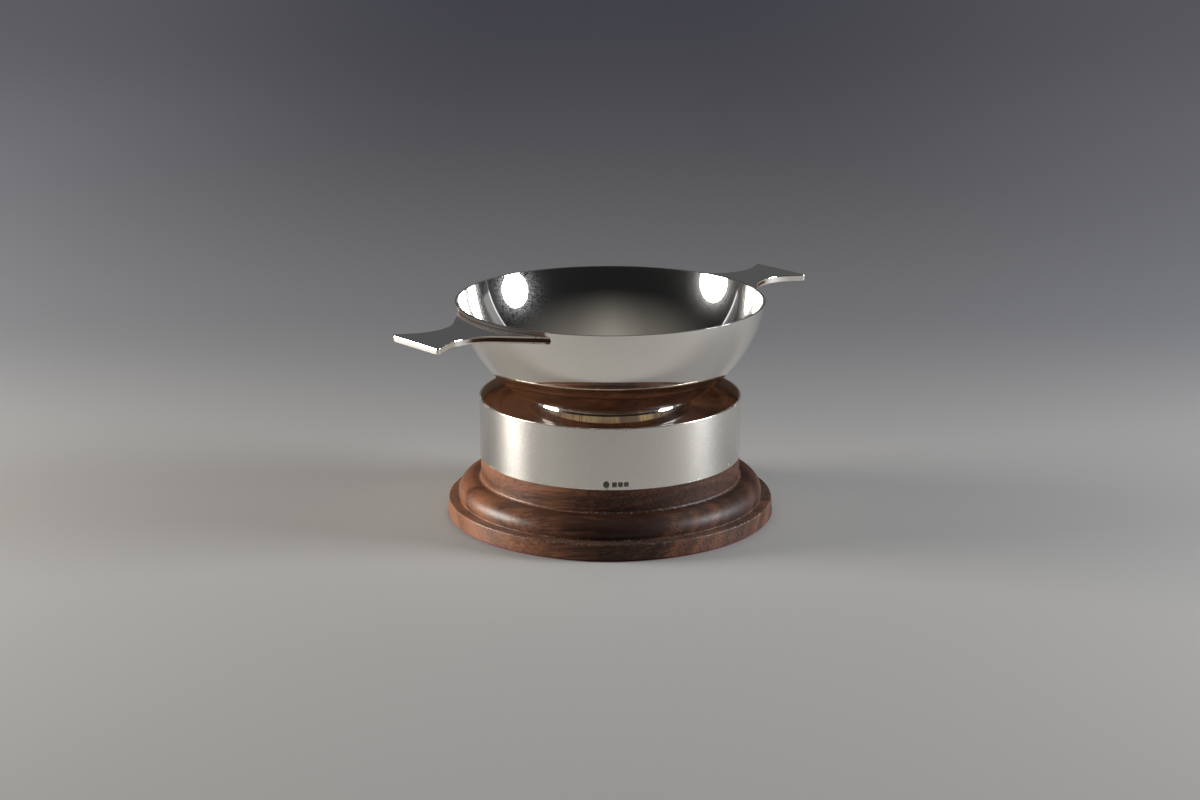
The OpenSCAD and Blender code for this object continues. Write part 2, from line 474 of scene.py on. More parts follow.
def rounded(rows):
    """Turns the corners of a section into small arcs, and gives (radius, height, normal r, normal z)."""
    out = []
    for i, (r, z, rounding, normal) in enumerate(rows):
        if normal is not None:
            out.append((r, z, *normal))
            continue
        if r < ON_AXIS:
            out.append((0.0, z, 0.0, 1.0 if i else -1.0))
            continue
        here = Vector((r, z))
        come = (here - Vector(rows[i - 1][:2])).normalized()
        leave = (Vector(rows[(i + 1) % len(rows)][:2]) - here).normalized()
        turn = math.atan2(come.x * leave.y - come.y * leave.x, come.dot(leave))
        side = 1 if turn > 0 else -1
        start = here - come * rounding * math.tan(abs(turn) / 2)
        first = Vector((come.y, -come.x))
        centre = start - first * rounding * side
        for k in range(EDGE_STEPS + 1):
            away = Matrix.Rotation(turn * k / EDGE_STEPS, 2) @ first
            point = centre + away * rounding * side
            out.append((point.x, point.y, away.x, away.y))
    return out


# Shapes are (points, normals, faces)


def turned(rows, closed, angles=None, shift=None):
    """The shape of a section turned about the axis; shift moves and tilts the points of an upright face."""
    angles = angles or [2 * math.pi * j / ROUND_STEPS for j in range(ROUND_STEPS)]
    points, normals, starts = [], [], []
    for r, z, nr, nz in rows:
        starts.append(len(points))
        if r < ON_AXIS:
            points.append((0.0, 0.0, z))
            normals.append((0.0, 0.0, nz))
            continue
        upright = nr > 0.999
        for a in angles:
            c, s = math.cos(a), math.sin(a)
            out, tilt_a, tilt_z = shift(a, z) if shift and upright else (0.0, 0.0, 0.0)
            points.append(((r + out) * c, (r + out) * s, z))
            normals.append((nr * c + tilt_a * s, nr * s - tilt_a * c, nz - tilt_z))
    count, faces = len(angles), []
    for i in range(len(rows) - (0 if closed else 1)):
        k = (i + 1) % len(rows)
        for j in range(count):
            n = (j + 1) % count
            if rows[i][0] < ON_AXIS:
                faces.append((starts[i], starts[k] + n, starts[k] + j))
            elif rows[k][0] < ON_AXIS:
                faces.append((starts[i] + j, starts[i] + n, starts[k]))
            else:
                faces.append((starts[i] + j, starts[i] + n, starts[k] + n, starts[k] + j))
    return points, normals, faces


def placed(shape, place):
    """A shape moved by a matrix."""
    points, normals, faces = shape
    turn = place.to_3x3()
    return [place @ Vector(p) for p in points], [turn @ Vector(n) for n in normals], faces


def joined(shapes):
    """One shape of several."""
    points, normals, faces = [], [], []
    for more_points, more_normals, more_faces in shapes:
        start = len(points)
        points += more_points
        normals += more_normals
        faces += [tuple(start + k for k in face) for face in more_faces]
    return points, normals, faces


def new_mesh(name, points, normals, faces):
    """A smooth mesh with the normals given."""
    mesh = bpy.data.meshes.new(name)
    mesh.from_pydata(points, [], faces)
    mesh.update()
    mesh.polygons.foreach_set("use_smooth", [True] * len(mesh.polygons))
    mesh.normals_split_custom_set_from_vertices([Vector(n).normalized() for n in normals])
    return mesh


def add_piece(name, mesh, material, body, slot, *nodes):
    """Links a piece, lets it ride on a body and stand for CAD nodes."""
    mesh.materials.append(material)
    piece = bpy.data.objects.new(name, mesh)
    bpy.context.scene.collection.objects.link(piece)
    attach(piece, body)
    if nodes:
        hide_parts(*nodes)
    return piece


# Materials


class Nodes:
    """A node tree and the calls that fill it."""

    def __init__(self, tree, coordinates):
        self.tree = tree
        self.place = self.add("ShaderNodeTexCoord").outputs[coordinates]

    def add(self, kind, **settings):
        """A new node with its settings."""
        made = self.tree.nodes.new(kind)
        for key, value in settings.items():
            setattr(made, key, value)
        return made

    def link(self, source, target):
        """Joins an output to an input."""
        self.tree.links.new(source, target)

    def put(self, socket, value):
        """Links a socket, or sets a plain value on it."""
        if isinstance(value, bpy.types.NodeSocket):
            self.link(value, socket)
        else:
            socket.default_value = value

    def mapped(self, scale=(1, 1, 1), rotation=(0, 0, 0), location=(0, 0, 0), source=None):
        """A place scaled, turned and moved."""
        made = self.add("ShaderNodeMapping")
        self.link(source or self.place, made.inputs["Vector"])
        made.inputs["Scale"].default_value = scale
        made.inputs["Rotation"].default_value = rotation
        made.inputs["Location"].default_value = location
        return made.outputs["Vector"]

    def split(self, vector=None):
        """The three numbers of a place."""
        made = self.add("ShaderNodeSeparateXYZ")
        self.link(vector or self.place, made.inputs[0])
        return made.outputs

    def from_front(self):
        """The place as seen from the object's front: to the right, away and up."""
        return self.split(self.mapped(rotation=(0, 0, VIEW_TURN)))

    def vector(self, x, y, z=0.0):
        """A place made of three numbers."""
        made = self.add("ShaderNodeCombineXYZ")
        for socket, value in zip(made.inputs, (x, y, z)):
            self.put(socket, value)
        return made.outputs[0]

    def noise(self, scale, detail=4, rough=0.5, vector=None):
        """Soft noise from 0 to 1."""
        made = self.add("ShaderNodeTexNoise")
        self.link(vector or self.place, made.inputs["Vector"])
        made.inputs["Scale"].default_value = scale
        made.inputs["Detail"].default_value = detail
        made.inputs["Roughness"].default_value = rough
        return made.outputs["Fac"]

    def ramp(self, value, low, high, bottom=0.0, top=1.0, curve="SMOOTHSTEP"):
        """Goes from bottom to top while the value goes from low to high."""
        made = self.add("ShaderNodeMapRange", interpolation_type=curve)
        self.put(made.inputs["Value"], value)
        for key, number in (("From Min", low), ("From Max", high), ("To Min", bottom), ("To Max", top)):
            made.inputs[key].default_value = number
        return made.outputs["Result"]

    def sums(self, operation, a, b=0.0):
        """One step of arithmetic."""
        made = self.add("ShaderNodeMath", operation=operation)
        self.put(made.inputs[0], a)
        self.put(made.inputs[1], b)
        return made.outputs[0]

    def plus(self, value, *others):
        """Two or more values added up."""
        for other in others:
            value = self.sums("ADD", value, other)
        return value

    def times(self, value, *others):
        """Two or more values multiplied."""
        for other in others:
            value = self.sums("MULTIPLY", value, other)
        return value

    def hypot(self, a, b):
        """Length of the diagonal of a and b."""
        return self.sums("SQRT", self.plus(self.times(a, a), self.times(b, b)))

    def mix(self, share, a, b):
        """Colour a with a share of colour b."""
        made = self.add("ShaderNodeMix", data_type="RGBA")
        self.put(made.inputs[0], share)
        for socket, value in ((made.inputs[6], a), (made.inputs[7], b)):
            self.put(socket, value if isinstance(value, bpy.types.NodeSocket) else (*value, 1.0))
        return made.outputs[2]


class Surface(Nodes):
    """A material of one shader."""

    def __init__(self, name):
        self.material = bpy.data.materials.new(name)
        self.material.use_nodes = True
        super().__init__(self.material.node_tree, "Object")
        self.shader = self.tree.nodes["Principled BSDF"]

    def attribute(self, name):
        """A number that the mesh holds at its points."""
        return self.add("ShaderNodeAttribute", attribute_name=name).outputs["Fac"]

    def set(self, **sockets):
        """Fills sockets of the shader."""
        for key, value in sockets.items():
            self.put(self.shader.inputs[key.replace("_", " ")], value)

    def bump(self, height, strength, distance):
        """Fine relief."""
        made = self.add("ShaderNodeBump")
        self.link(height, made.inputs["Height"])
        made.inputs["Strength"].default_value = strength
        made.inputs["Distance"].default_value = distance
        self.link(made.outputs["Normal"], self.shader.inputs["Normal"])


def dimmed(colour, share):
    """A darker colour."""
    return tuple(c * share for c in colour)


def silver_surface(
    name, colours, polish, turned_lines, scuffs=0.0, brushed=0.0, film=0.0, painted_shade_left=0.0, tarnish=None
):
    """Polished silver with fine lines and a faint haze.

    polish is its least roughness, and turned_lines says whether the lines run round the axis. scuffs is the
    share of fine scratches, brushed draws the shine out round the axis, film tells how far an old film dulls
    the silver all over, and the share after it how far painted shade darkens it on the left. tarnish gives
    the share and colour of stains, which on the bowl and lugs include painted shade.
    """
    s = Surface(name)
    x, y, z = s.split()
    radius = s.hypot(x, y)
    if turned_lines:
        lines = s.noise(5200, 2, 0.6, s.vector(s.times(s.sums("ARCTAN2", y, x), 0.01), radius, z))
    else:
        lines = s.noise(1, 2, 0.6, s.mapped(scale=(900, 5200, 900), rotation=(0, 0, 0.5)))
    cloud = s.noise(28, 5, 0.55)
    haze = s.times(s.ramp(cloud, 0.35, 0.75), 0.02)
    fine = s.times(s.ramp(lines, 0.5, 0.8), 0.08 * brushed + 0.03)
    rough = s.plus(haze, fine, polish)
    clean = dimmed(colours.silver, 1 - film)
    colour = s.mix(s.ramp(cloud, 0.45, 0.8, 0.0, 0.2), clean, dimmed(clean, 0.88))
    # Painted shade: the silver is darker on its left, as seen from the front
    if painted_shade_left:
        right = s.from_front()[0]
        colour = s.mix(s.ramp(right, -0.037, -0.025, painted_shade_left, 0.0), colour, (0.0, 0.0, 0.0))
    bare = 1.0
    # On the bowl and lugs these stains also carry painted shade at the lugs' roots
    if tarnish:
        share, stain = tarnish(s, radius, z)
        colour = s.mix(share, colour, stain)
        rough = s.plus(rough, s.times(share, 0.5))
        bare = s.sums("SUBTRACT", 1.0, share)
    s.set(Base_Color=colour, Roughness=rough, Metallic=bare, Specular_IOR_Level=0.05)
    if scuffs:
        scratches = s.noise(1, 3, 0.7, s.mapped(scale=(420, 3800, 1900), rotation=(0.4, 0.9, 0.3)))
        s.set(Coat_Weight=s.times(s.ramp(scratches, 0.35, 0.6), scuffs, bare), Coat_Roughness=0.25)
    if brushed:
        round_the_axis = s.add("ShaderNodeTangent", direction_type="RADIAL", axis="Z").outputs[0]
        s.set(Anisotropic=brushed, Anisotropic_Rotation=0.25, Tangent=round_the_axis)
    wave = s.noise(16, 2, 0.4)
    s.bump(s.plus(wave, s.times(lines, 0.01)), 0.02, 0.0012)
    return s.material


def wood_surface(name, colours, turn, heart, crease, has_top):
    """Dark close-grained wood with fibres, open pores and a worn polish.

    It is paler on the left, on the base's rim and up the drum's foot, and the drum's top is dull and darkened
    with painted shade under the bowl.
    turn and heart lay the grain in the piece, and crease is the height at which specks of wax have stayed.
    """
    s = Surface(name)
    log = s.mapped(rotation=(0.05, 0.12, turn), location=heart)
    x, y, z = s.split(log)
    level = s.split()[2]
    right = s.from_front()[0]
    drift = s.times(s.plus(s.noise(14, 3, 0.5, log), -0.5), 0.012)
    rings = s.vector(s.plus(s.hypot(y, z), drift), s.times(x, 0.06))
    year, band = s.noise(190, 3, 0.55, rings), s.noise(60, 2, 0.5, rings)
    fibre = s.noise(1, 4, 0.65, s.mapped(scale=(45, 1100, 1100), source=log))
    pores = s.ramp(s.noise(1, 2, 0.5, s.mapped(scale=(230, 2600, 2600), source=log)), 0.62, 0.72)
    grain = s.plus(s.times(year, 0.6), s.times(band, 0.4), s.times(s.plus(fibre, -0.5), 0.6))
    paler = s.times(s.ramp(right, -0.065, 0.02, 0.08, -0.12), s.ramp(level, *DRUM_TOP, 1.0, 0.0))
    tone = s.plus(grain, paler, s.ramp(level, *RIM_TOP, 0.045, -0.03), s.ramp(level, *DRUM_FOOT, 0.0, 0.03))
    colour = s.mix(s.ramp(tone, 0.27, 0.75), colours.wood_dark, colours.wood_light)
    # Open pores, and painted shade on the drum's top under the bowl
    dark = s.sums("MAXIMUM", s.times(pores, 0.75), s.ramp(level, *DRUM_TOP, 0.0, 0.1))
    colour = s.mix(dark, colour, colours.wood_pore_and_shade)
    beside = s.sums("ABSOLUTE", s.plus(level, -crease))
    specks = s.times(s.ramp(beside, 0.0003, 0.0012, 1.0, 0.0), s.ramp(s.noise(1500, 3, 0.6), 0.55, 0.65), 0.7)
    colour = s.mix(specks, colour, colours.wax)
    worn = s.ramp(s.noise(40, 4, 0.6), 0.3, 0.7, 0.31, 0.43)
    rough = s.plus(worn, s.times(pores, 0.25), s.ramp(right, -0.02, 0.05, 0.0, 0.13))
    shine = s.ramp(level, *DRUM_TOP, 0.3, 0.06) if has_top else 0.3
    s.set(Base_Color=colour, Roughness=rough, Specular_IOR_Level=shine, Coat_Weight=0.03, Coat_Roughness=0.35)
    s.bump(s.plus(s.times(fibre, 0.3), s.times(pores, -0.7)), 0.35, 0.0002)
    return s.material


def baize_surface(colours):
    """Short felted nap."""
    s = Surface("red_baize")
    nap = s.noise(2600, 5, 0.75)
    patch = s.noise(90, 3, 0.5)
    s.set(
        Base_Color=s.mix(s.times(s.plus(nap, patch), 0.5), dimmed(colours.baize, 0.45), colours.baize),
        Roughness=0.95,
        Sheen_Weight=0.4,
        Sheen_Roughness=0.5,
        Specular_IOR_Level=0.15,
    )
    s.bump(nap, 0.8, 0.0004)
    return s.material


def steel_surface(colours):
    """Turned screw steel with fine lines."""
    s = Surface("screw_steel")
    lines = s.noise(1, 3, 0.6, s.mapped(scale=(700, 700, 4200)))
    s.set(
        Base_Color=s.mix(lines, dimmed(colours.steel, 0.7), colours.steel),
        Metallic=1.0,
        Roughness=s.ramp(lines, 0.2, 0.8, 0.25, 0.5),
    )
    s.bump(lines, 0.2, 0.00005)
    return s.material


def floor_surface(colours):
    """Matt paper whose colour carries painted light.

    Painted shade darkens it just behind the object, and a painted glow makes it paler far out at the sides,
    more on the left.
    """
    s = Surface("floor_paper")
    right, away, _ = s.split()
    grain = s.noise(900, 3, 0.6)
    near = s.mix(s.ramp(away, -0.02, 0.4), colours.floor_near, colours.floor_middle_shade)
    plain = s.mix(s.ramp(away, 0.5, 2.6), near, colours.floor_far)
    # Painted glow far behind and out at the sides, stronger on the left
    aside = s.times(s.ramp(s.sums("ABSOLUTE", right), 0.1, 1.0), s.ramp(away, 0.2, 1.4))
    aside = s.times(aside, s.ramp(right, -0.5, 0.5, 1.0, 0.75))
    plain = s.mix(aside, plain, colours.floor_side_glow)
    s.set(Base_Color=plain, Roughness=s.ramp(grain, 0.2, 0.8, 0.75, 0.95), Specular_IOR_Level=0.2)
    s.bump(grain, 0.05, 0.0002)
    return s.material


# Sections and outlines of this object's pieces


def part_way(value, start, full):
    """How far a value has come from start to full, from 0 to 1."""
    return min(1.0, max(0.0, (value - start) / (full - start)))


def wall_centre(sizes):
    """Centre of the bowl's round wall in section."""
    lean = sizes.rim_lean
    return BOWL_HIGH.x - sizes.wall_radius * math.cos(lean), BOWL_HIGH.z + sizes.wall_radius * math.sin(lean)


def wall_at(sizes, level):
    """Radius of the bowl's outside at a height on its round wall."""
    centre_r, centre_z = wall_centre(sizes)
    return centre_r + math.sqrt(sizes.wall_radius**2 - (centre_z - level) ** 2)


def bowl_rows(sizes):
    """The bowl's section, from the middle of the underside up the outside and down the inside."""
    low, high, rim = BOWL_LOW.z, BOWL_HIGH.z, BOWL_HIGH.x
    centre_r, centre_z = wall_centre(sizes)
    turn_z = low + sizes.underside_turn
    apart = sizes.wall_radius - sizes.underside_turn
    turn_r = centre_r + math.sqrt(apart**2 - (centre_z - turn_z) ** 2)
    meet = math.atan2(turn_z - centre_z, turn_r - centre_r)
    wall, stop = sizes.bowl_wall, -sizes.rim_lean - RIM_FREE
    inner_rim = centre_r + math.sqrt((sizes.wall_radius - wall) ** 2 - (centre_z - high) ** 2)
    return [
        corner(0, low),
        *arc(turn_r, turn_z, sizes.underside_turn, -math.pi / 2, meet, UNDERSIDE_STEPS),
        *arc(centre_r, centre_z, sizes.wall_radius, meet, stop, WALL_STEPS)[1:],
        corner(rim, high, sizes.rim_edge),
        corner(inner_rim, high, sizes.rim_edge),
        *arc(centre_r, centre_z, sizes.wall_radius - wall, stop, meet, WALL_STEPS),
        *arc(turn_r, turn_z, sizes.underside_turn - wall, meet, -math.pi / 2, UNDERSIDE_STEPS)[1:],
        corner(0, low + wall),
    ]


def foot_rows(sizes):
    """The collet foot's section: a leaning side and a rounded shoulder that runs into the bowl."""
    low, foot, lean = FOOT_LOW.z, FOOT_HIGH.x, sizes.foot_lean
    top = foot - sizes.foot_side * math.tan(lean)
    centre_r = top - sizes.shoulder_radius * math.cos(lean)
    centre_z = low + sizes.foot_side - sizes.shoulder_radius * math.sin(lean)
    inside = top - sizes.foot_wall
    return [
        corner(inside, low, sizes.foot_edge),
        corner(foot, low, sizes.foot_edge),
        *arc(centre_r, centre_z, sizes.shoulder_radius, lean, sizes.shoulder_end, SHOULDER_STEPS),
        corner(inside, FOOT_HIGH.z + SOLDER_LAP, sizes.foot_edge / 3),
    ]


def band_rows(sizes):
    """The band's section; close rows near its lower edge carry the punches."""
    low, high, out = BAND_LOW.z, BAND_HIGH.z, BAND_HIGH.x
    inside = out - sizes.band_wall
    rows = [corner(inside, low, sizes.band_edge / 2), corner(out, low, sizes.band_edge / 2)]
    start, end = PUNCH_STRIP
    for i in range(PUNCH_ROWS + 1):
        rows.append((out, low + start + (end - start) * i / PUNCH_ROWS, 0.0, (1.0, 0.0)))
    rows += [corner(out, high, sizes.band_edge), corner(inside, high, sizes.band_edge)]
    return rows


def drum_rows(sizes):
    """The drum's section: hollow, bare foot, neck for the band, bevel, ring and sunk seat."""
    low, high, foot, seat_z = DRUM_LOW.z, DRUM_HIGH.z, DRUM_HIGH.x, FOOT_LOW.z
    hollow, edge = sizes.drum_hollow, sizes.wood_edge
    neck = BAND_HIGH.x - sizes.band_wall - sizes.neck_gap
    ring = neck - sizes.ring_bevel_width
    ring_inside = ring - sizes.ring_width
    return [
        corner(0, low),
        corner(foot, low, edge / 6),
        *arc(foot, low + hollow, hollow, 1.5 * math.pi - HOLLOW_FREE, math.pi, SMALL_ARC_STEPS),
        corner(foot - hollow, BAND_LOW.z, edge / 2),
        corner(neck, BAND_LOW.z, edge / 3),
        corner(neck, high - sizes.ring_bevel, edge),
        corner(ring, high, edge),
        corner(ring_inside, high, edge * 1.5),
        corner(ring_inside - sizes.seat_flare, seat_z, edge),
        corner(0, seat_z),
    ]


def base_rows(sizes):
    """The base's section: leaning rim, ledge and round moulding."""
    low, high, foot = BASE_LOW.z, BASE_HIGH.z, BASE_HIGH.x
    lean = math.atan(sizes.rim_taper / sizes.base_rim_height)
    ledge = low + sizes.base_rim_height
    round_z = ledge - sizes.rim_round
    round_r = foot - (round_z - low) * math.tan(lean) - sizes.rim_round / math.cos(lean)
    moulding = sizes.moulding_radius
    centre_r = sizes.moulding_diameter / 2 - moulding
    centre_z = high - moulding
    start = math.asin((ledge - centre_z) / moulding)
    return [
        corner(0, low),
        corner(foot, low, sizes.wood_edge),
        *arc(round_r, round_z, sizes.rim_round, lean, math.pi / 2, SMALL_ARC_STEPS),
        corner(centre_r + moulding * math.cos(start), ledge, sizes.wood_edge),
        *arc(centre_r, centre_z, moulding, start + MOULDING_FREE, math.pi / 2, MOULDING_STEPS),
        corner(0, high),
    ]


def lug_outline(sizes, level):
    """Half of a lug's plan, from the middle of its end to the middle of its root: (along, across, normal)."""
    end, half, waist_half = LUG_HIGH.x, sizes.lug_end_half_width, sizes.lug_waist_half_width
    outer, inner, hollow = sizes.outer_flank, sizes.inner_flank, sizes.waist_radius
    rise = half - waist_half - hollow * (1 - math.cos(outer))
    waist_u = end - rise / math.tan(outer) - hollow * math.sin(outer)
    waist_v = waist_half + hollow
    corner_u = end - sizes.lug_corner
    corner_v = half - sizes.lug_corner * (1 + math.sin(outer)) / math.cos(outer)
    rows = [(end, corner_v * i / END_STEPS, 1.0, 0.0) for i in range(END_STEPS)]
    for i in range(CORNER_STEPS + 1):
        a = (math.pi / 2 + outer) * i / CORNER_STEPS
        c, s = math.cos(a), math.sin(a)
        rows.append((corner_u + sizes.lug_corner * c, corner_v + sizes.lug_corner * s, c, s))
    for i in range(WAIST_STEPS + 1):
        a = outer - (outer + inner) * i / WAIST_STEPS
        c, s = math.cos(a), math.sin(a)
        rows.append((waist_u + hollow * s, waist_v - hollow * c, -s, c))
    last_u, last_v = rows[-1][:2]
    down = math.tan(inner)
    tail_u = (last_v + last_u * down) / (math.tan(sizes.root_half_angle) + down)
    for i in range(1, FLANK_STEPS + 1):
        u = last_u + (tail_u - last_u) * i / FLANK_STEPS
        rows.append((u, last_v + (last_u - u) * down, math.sin(inner), math.cos(inner)))
    root = wall_at(sizes, level) - SOLDER_LAP
    c, s = math.cos(sizes.root_half_angle), math.sin(sizes.root_half_angle)
    rows.append((root * c, root * s, -s, c))
    for i in range(1, ROOT_STEPS + 1):
        a = sizes.root_half_angle * (1 - i / ROOT_STEPS)
        rows.append((root * math.cos(a), root * math.sin(a), -math.cos(a), -math.sin(a)))
    return rows


def edge_depth(sizes, u, nu):
    """Depth of the rounding of a lug's upper edge: crisp at the waist, full at the end and the tails."""
    end = sizes.lug_end_edge * part_way(nu, *END_TURN)
    tail = part_way(u - BOWL_HIGH.x, *TAIL_REACH)
    return max(end, sizes.lug_edge + (sizes.lug_tail_edge - sizes.lug_edge) * tail)


def lug_plate(sizes):
    """A flat lug, rounded over above and softened below; its root follows the bowl's round wall."""
    top, low = LUG_HIGH.z, LUG_LOW.z
    rings = [(math.pi / 2 * (1 - k / LUG_EDGE_STEPS), True) for k in range(LUG_EDGE_STEPS + 1)]
    rings += [(-math.pi / 2 * k / EDGE_STEPS, False) for k in range(EDGE_STEPS + 1)]
    points, normals, count = [], [], 0
    for tilt, upper in rings:
        c, s = math.cos(tilt), math.sin(tilt)
        half = lug_outline(sizes, top + sizes.lug_tail_edge * (s - 1) if upper else low)
        full = half + [(u, -v, nu, -nv) for u, v, nu, nv in reversed(half[1:-1])]
        count = len(full)
        for u, v, nu, nv in full:
            depth = edge_depth(sizes, u, nu) if upper else sizes.lug_lower_edge
            width = depth * EDGE_SLIMNESS if upper else depth
            level = top + depth * (s - 1) if upper else low + depth * (s + 1)
            wall = wall_at(sizes, level)
            inset = width * (1 - c) * part_way(math.hypot(u, v), wall, wall + ROOT_FADE)
            points.append((u - nu * inset, v - nv * inset, level))
            normals.append((nu * c * depth, nv * c * depth, s * width))
    faces = [tuple(range(count)), tuple(reversed(range(len(points) - count, len(points))))]
    for i in range(len(rings) - 1):
        for j in range(count):
            n = (j + 1) % count
            faces.append((i * count + j, (i + 1) * count + j, (i + 1) * count + n, i * count + n))
    return points, normals, faces


def lug_solder(sizes):
    """The solder in the corner above a lug, thin at both ends and closed behind."""
    points, normals, faces = [], [], []
    top, loop = LUG_HIGH.z, FILLET_STEPS + 2
    for j in range(FILLET_ROWS + 1):
        along = 2 * j / FILLET_ROWS - 1
        c, s = math.cos(sizes.root_half_angle * along), math.sin(sizes.root_half_angle * along)
        fillet = sizes.solder_fillet * min(1.0, (1 - abs(along)) * 4 + 0.1)
        for k in range(FILLET_STEPS + 1):
            lean = math.pi / 2 * k / FILLET_STEPS
            level = top + fillet * (1 - math.cos(lean))
            r = wall_at(sizes, level) + fillet * (1 - math.sin(lean)) - FILLET_SINK
            points.append((r * c, r * s, level))
            normals.append((math.sin(lean) * c, math.sin(lean) * s, math.cos(lean)))
        r = wall_at(sizes, top) - SOLDER_LAP
        points.append((r * c, r * s, top - SOLDER_LAP))
        normals.append((-c, -s, -1.0))
    for j in range(FILLET_ROWS):
        for k in range(loop):
            here, beside = j * loop + k, j * loop + (k + 1) % loop
            faces.append((here, here + loop, beside + loop, beside))
    faces.append(tuple(range(loop)))
    faces.append(tuple(reversed(range(FILLET_ROWS * loop, (FILLET_ROWS + 1) * loop))))
    return points, normals, faces


def punch_share(angle, height):
    """Share of a punch's depth, from 0 to 1, at a place on the band."""
    along = ((angle - FRONT + math.pi) % (2 * math.pi) - math.pi) * BAND_HIGH.x
    rise = height - BAND_LOW.z - PUNCH_RISE
    best = 0.0
    for middle, half_width, half_height, square in PUNCHES:
        u, v = abs(along - middle) / half_width, abs(rise) / half_height
        far = (u**square + v**square) ** (1 / square)
        best = max(best, part_way(far, *PUNCH_SIDE))
    return best * best * (3 - 2 * best)


def band_shift(sizes):
    """Gives the function that sinks the band's round face at the punches and tilts it there."""
    reach = 0.00006
    turn = reach / BAND_HIGH.x
    steep = sizes.punch_depth / (2 * reach)

    def shift(angle, height):
        tilt_a = punch_share(angle + turn, height) - punch_share(angle - turn, height)
        tilt_z = punch_share(angle, height + reach) - punch_share(angle, height - reach)
        return -punch_share(angle, height) * sizes.punch_depth, tilt_a * steep, -tilt_z * steep

    return shift


def band_angles():
    """Divisions round the band, close together at the punches."""
    angles = [2 * math.pi * j / ROUND_STEPS for j in range(ROUND_STEPS)]
    start, end = PUNCH_SPAN
    for i in range(PUNCH_STEPS + 1):
        along = start + (end - start) * i / PUNCH_STEPS
        angles.append((FRONT + along / BAND_HIGH.x) % (2 * math.pi))
    angles.sort()
    kept = angles[:1]
    for a in angles[1:]:
        if a - kept[-1] > CLOSEST_ANGLE:
            kept.append(a)
    return kept


# Operators, one for each piece or group of like pieces


def chosen(context):
    """The sizes and colours that are set."""
    return context.scene.quaich_sizes, context.scene.quaich_colours


class QUAICH_OT_bowl(bpy.types.Operator):
    """Builds the raised bowl"""

    bl_idname = "quaich.bowl"
    bl_label = "Bowl"

    def execute(self, context):
        sizes, colours = chosen(context)
        mesh = new_mesh("bowl_raised", *turned(rounded(bowl_rows(sizes)), False))
        rim = BOWL_HIGH.x

        def joint(s, radius, height):
            """Dull colour of the soldered joint on the outside above the lugs, browner towards their tails.

            Up to the rim this dull colour is painted shade, in place of the strip's dark reflection.
            """
            across = s.sums("ABSOLUTE", s.split()[1])
            near = s.ramp(across, rim * 0.42, rim * 0.46, 1.0, 0.0)
            outside = s.ramp(radius, rim - 0.001, rim - 0.0007)
            share = s.times(near, outside, s.ramp(height, LUG_LOW.z, LUG_HIGH.z))
            brown = s.ramp(across, rim * 0.24, rim * 0.4, 0.0, 0.35)
            return share, s.mix(brown, colours.solder_and_shade, colours.tarnish)

        silver = silver_surface("silver_bowl", colours, 0.02, True, scuffs=1.0, tarnish=joint)
        add_piece("bowl_raised", mesh, silver, "quaich", "silver", "bowl")
        return {"FINISHED"}


class QUAICH_OT_lugs(bpy.types.Operator):
    """Builds the two lugs"""

    bl_idname = "quaich.lugs"
    bl_label = "Lugs"

    def execute(self, context):
        sizes, colours = chosen(context)
        wall, low, top = wall_at(sizes, LUG_LOW.z), LUG_LOW.z, LUG_HIGH.z

        def joint(s, radius, height):
            """Spots of tarnish at the root, a dark side up to the waist, and the dull soldered fillet above.

            The fillet's dull colour is partly painted shade, as on the bowl's strip above the lug.
            """
            root = s.ramp(radius, wall + 0.0012, wall + 0.0045, 1.0, 0.0)
            spots = s.times(root, s.ramp(s.noise(420, 4, 0.7), 0.42, 0.62))
            side = s.ramp(height, top - 0.0007, top - 0.0003, 1.0, 0.0)
            side = s.times(side, s.ramp(height, low + 0.0005, low + 0.001))
            side = s.times(side, s.ramp(radius, wall + 0.018, wall + 0.025, 1.0, 0.0))
            # The soldered fillet above the lug: a dull colour that is partly painted shade
            solder_and_shade = s.ramp(height, top + 0.00001, top + 0.00008)
            share = s.sums("MAXIMUM", spots, s.sums("MAXIMUM", solder_and_shade, side))
            stain = s.mix(solder_and_shade, colours.tarnish, colours.solder_and_shade)
            return share, s.mix(side, stain, dimmed(colours.tarnish, 0.3))

        silver = silver_surface("silver_lugs", colours, 0.03, False, scuffs=0.5, tarnish=joint)
        lug = joined((lug_plate(sizes), lug_solder(sizes)))
        for name, node, turn in LUGS:
            mesh = new_mesh(name, *placed(lug, Matrix.Rotation(turn, 4, "Z")))
            add_piece(name, mesh, silver, "quaich", "silver", node)
        return {"FINISHED"}


class QUAICH_OT_foot(bpy.types.Operator):
    """Builds the collet foot"""

    bl_idname = "quaich.foot"
    bl_label = "Foot"

    def execute(self, context):
        sizes, colours = chosen(context)
        mesh = new_mesh("foot_collet", *turned(rounded(foot_rows(sizes)), True))
        high = FOOT_HIGH.z

        def joint(s, radius, height):
            """Spots of tarnish under the bowl."""
            spots = s.ramp(s.noise(300, 3, 0.6), 0.35, 0.7, 0.1, 0.6)
            return s.times(s.ramp(height, high - 0.0009, high - 0.0001), spots), colours.tarnish

        silver = silver_surface("silver_foot", colours, 0.03, True, scuffs=1.0, tarnish=joint)
        add_piece("foot_collet", mesh, silver, "quaich", "silver", "foot_ring")
        return {"FINISHED"}


